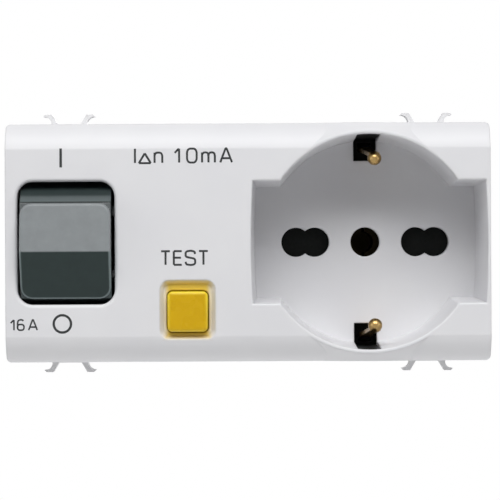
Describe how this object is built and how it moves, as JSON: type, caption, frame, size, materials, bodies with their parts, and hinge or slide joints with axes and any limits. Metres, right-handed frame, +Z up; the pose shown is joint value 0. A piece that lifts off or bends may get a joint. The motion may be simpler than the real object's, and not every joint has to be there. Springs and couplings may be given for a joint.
{
  "type": "interlocked socket",
  "caption": "Flush wall socket whose shuttered, earthed outlet is interlocked with a rocker breaker and a residual current test button.",
  "frame": {"origin": "centre of the unit on the plane where its cover seats on the mounting frame", "axes": "+X to the right seen from the front, +Y back into the wall, +Z up"},
  "size_m": [0.088, 0.0509, 0.0476],
  "materials": {
    "white_plastic": "satin moulded polycarbonate",
    "housing_plastic": "fine-grained moulded plastic",
    "black_insulator": "matt moulded insulating plastic",
    "grey_rocker": "smooth moulded plastic, grey upper face",
    "yellow_plastic": "smooth moulded plastic",
    "brass": "stamped and tumbled",
    "copper_alloy": "stamped strip",
    "silver_alloy": "riveted contact button",
    "zinc_steel": "zinc-plated",
    "spring_steel": "drawn wire and strip",
    "bimetal": "rolled bimetal",
    "copper_winding": "enamelled copper wire",
    "fibre": "vulcanised fibre",
    "board": "glass-epoxy board",
    "component_body": "moulded component bodies",
    "ferrite": "varnished ring core",
    "insulated_copper": "insulated solid conductor"
  },
  "bodies": {
    "root": {"front_cover": "white_plastic", "socket_floor": "white_plastic", "rear_housing": "housing_plastic", "contact_block": "black_insulator", "case_screws": "zinc_steel", "phase_contact": "copper_alloy", "neutral_contact": "copper_alloy", "phase_busbar": "copper_alloy", "neutral_busbar": "copper_alloy", "earth_pin_contact": "brass", "earth_bracket": "brass", "shutter_spring": "spring_steel", "interlock_lever_pin": "zinc_steel", "rocker_pin": "zinc_steel", "mechanism_frame": "zinc_steel", "carrier_pin": "zinc_steel", "trip_lever_pin": "zinc_steel", "fixed_contact_phase": "copper_alloy", "fixed_contact_neutral": "copper_alloy", "fixed_contact_tips": "silver_alloy", "arc_chute_plates": "zinc_steel", "arc_chute_cheeks": "fibre", "magnetic_coil": "copper_winding", "coil_yoke": "zinc_steel", "bimetal_strip": "bimetal", "test_contact_posts": "copper_alloy", "circuit_board": "board", "test_resistor": "component_body", "board_capacitors": "component_body", "sensing_toroid": "ferrite", "primary_conductors": "insulated_copper", "trip_relay": "component_body"},
    "rocker": {"rocker": "grey_rocker"},
    "drive_link": {"drive_link": "zinc_steel"},
    "contact_carrier": {"contact_carrier": "black_insulator", "moving_contact_phase": "copper_alloy", "moving_contact_neutral": "copper_alloy", "moving_contact_tips": "silver_alloy"},
    "test_button": {"test_button": "yellow_plastic"},
    "test_leaf": {"test_leaf": "spring_steel"},
    "shutter": {"shutter": "black_insulator"},
    "interlock_slider": {"interlock_slider": "black_insulator"},
    "interlock_lever": {"interlock_lever": "black_insulator"},
    "earth_clip_upper": {"earth_clip_upper": "brass"},
    "earth_clip_lower": {"earth_clip_lower": "brass"},
    "coil_plunger": {"coil_plunger": "zinc_steel"},
    "trip_lever": {"trip_lever": "black_insulator"},
    "terminal_screw_phase": {"terminal_screw_phase": "zinc_steel"},
    "terminal_cage_phase": {"terminal_cage_phase": "zinc_steel"},
    "terminal_screw_neutral": {"terminal_screw_neutral": "zinc_steel"},
    "terminal_cage_neutral": {"terminal_cage_neutral": "zinc_steel"},
    "terminal_screw_earth": {"terminal_screw_earth": "zinc_steel"},
    "terminal_cage_earth": {"terminal_cage_earth": "zinc_steel"}
  },
  "joints": [
    {"name": "rocker_tilt", "type": "hinge", "parent": "root", "child": "rocker", "pos_m": [-0.033, -0.002, 0], "axis": [-1, 0, 0], "range_deg": [0, 16]},
    {"name": "link_turn", "type": "hinge", "parent": "rocker", "child": "drive_link", "pos_m": [-0.033, 0.00889, 0.00153], "axis": [-1, 0, 0], "range_deg": [-16, 0]},
    {"name": "carrier_swing", "type": "hinge", "parent": "root", "child": "contact_carrier", "pos_m": [-0.033, 0.021, -0.007], "axis": [1, 0, 0], "range_deg": [0, 19.6]},
    {"name": "test_press", "type": "slide", "parent": "root", "child": "test_button", "axis": [0, 1, 0], "range_m": [0, 0.0018], "stiffness_N_per_m": 900, "springref_m": -0.0004},
    {"name": "leaf_bend", "type": "hinge", "parent": "root", "child": "test_leaf", "pos_m": [-0.011, 0.00395, -0.003], "axis": [1, 0, 0], "range_deg": [0, 11.6]},
    {"name": "shutter_slide", "type": "slide", "parent": "root", "child": "shutter", "axis": [0, 0, -1], "range_m": [0, 0.0064], "stiffness_N_per_m": 150, "springref_m": -0.002, "deforming": ["shutter_spring"]},
    {"name": "slider_slide", "type": "slide", "parent": "root", "child": "interlock_slider", "axis": [0, 0, -1], "range_m": [0, 0.0064]},
    {"name": "interlock_turn", "type": "hinge", "parent": "root", "child": "interlock_lever", "pos_m": [-0.024, 0.028, -0.0088], "axis": [1, 0, 0], "range_deg": [0, 27]},
    {"name": "upper_clip_bend", "type": "hinge", "parent": "root", "child": "earth_clip_upper", "pos_m": [0.022, 0.024, 0.0176], "axis": [-1, 0, 0], "range_deg": [0, 3], "stiffness_Nm_per_rad": 2, "springref_deg": -1.15},
    {"name": "lower_clip_bend", "type": "hinge", "parent": "root", "child": "earth_clip_lower", "pos_m": [0.022, 0.024, -0.0176], "axis": [1, 0, 0], "range_deg": [0, 3], "stiffness_Nm_per_rad": 2, "springref_deg": -1.15},
    {"name": "plunger_slide", "type": "slide", "parent": "root", "child": "coil_plunger", "axis": [0, -1, 0], "range_m": [0, 0.002], "stiffness_N_per_m": 300, "springref_m": -0.0005},
    {"name": "trip_turn", "type": "hinge", "parent": "root", "child": "trip_lever", "pos_m": [-0.033, 0.009, 0.0055], "axis": [1, 0, 0], "range_deg": [0, 17.2]},
    {"name": "phase_cage_lift", "type": "slide", "parent": "root", "child": "terminal_cage_phase", "axis": [0, 1, 0], "range_m": [0, 0.002]},
    {"name": "phase_screw_turn", "type": "hinge", "parent": "root", "child": "terminal_screw_phase", "pos_m": [-0.037, 0.034, -0.0146], "axis": [0, 1, 0], "range_deg": [0, 1200.5]},
    {"name": "neutral_cage_lift", "type": "slide", "parent": "root", "child": "terminal_cage_neutral", "axis": [0, 1, 0], "range_m": [0, 0.002]},
    {"name": "neutral_screw_turn", "type": "hinge", "parent": "root", "child": "terminal_screw_neutral", "pos_m": [-0.029, 0.034, -0.0146], "axis": [0, 1, 0], "range_deg": [0, 1200.5]},
    {"name": "earth_cage_lift", "type": "slide", "parent": "root", "child": "terminal_cage_earth", "axis": [0, 1, 0], "range_m": [0, 0.002]},
    {"name": "earth_screw_turn", "type": "hinge", "parent": "root", "child": "terminal_screw_earth", "pos_m": [0.0335, 0.034, -0.0146], "axis": [0, 1, 0], "range_deg": [0, 1200.5]}
  ],
  "couplings": [
    {"joint": "link_turn", "follows": "rocker_tilt", "ratio": -1},
    {"joint": "carrier_swing", "follows": "rocker_tilt", "ratio": 1.2242},
    {"joint": "leaf_bend", "follows": "test_press", "rad_per_m": 112},
    {"joint": "slider_slide", "follows": "shutter_slide", "ratio": 1},
    {"joint": "interlock_turn", "follows": "shutter_slide", "rad_per_m": 73},
    {"joint": "trip_turn", "follows": "plunger_slide", "rad_per_m": 148},
    {"joint": "phase_screw_turn", "follows": "phase_cage_lift", "rad_per_m": 10472},
    {"joint": "neutral_screw_turn", "follows": "neutral_cage_lift", "rad_per_m": 10472},
    {"joint": "earth_screw_turn", "follows": "earth_cage_lift", "rad_per_m": 10472}
  ]
}
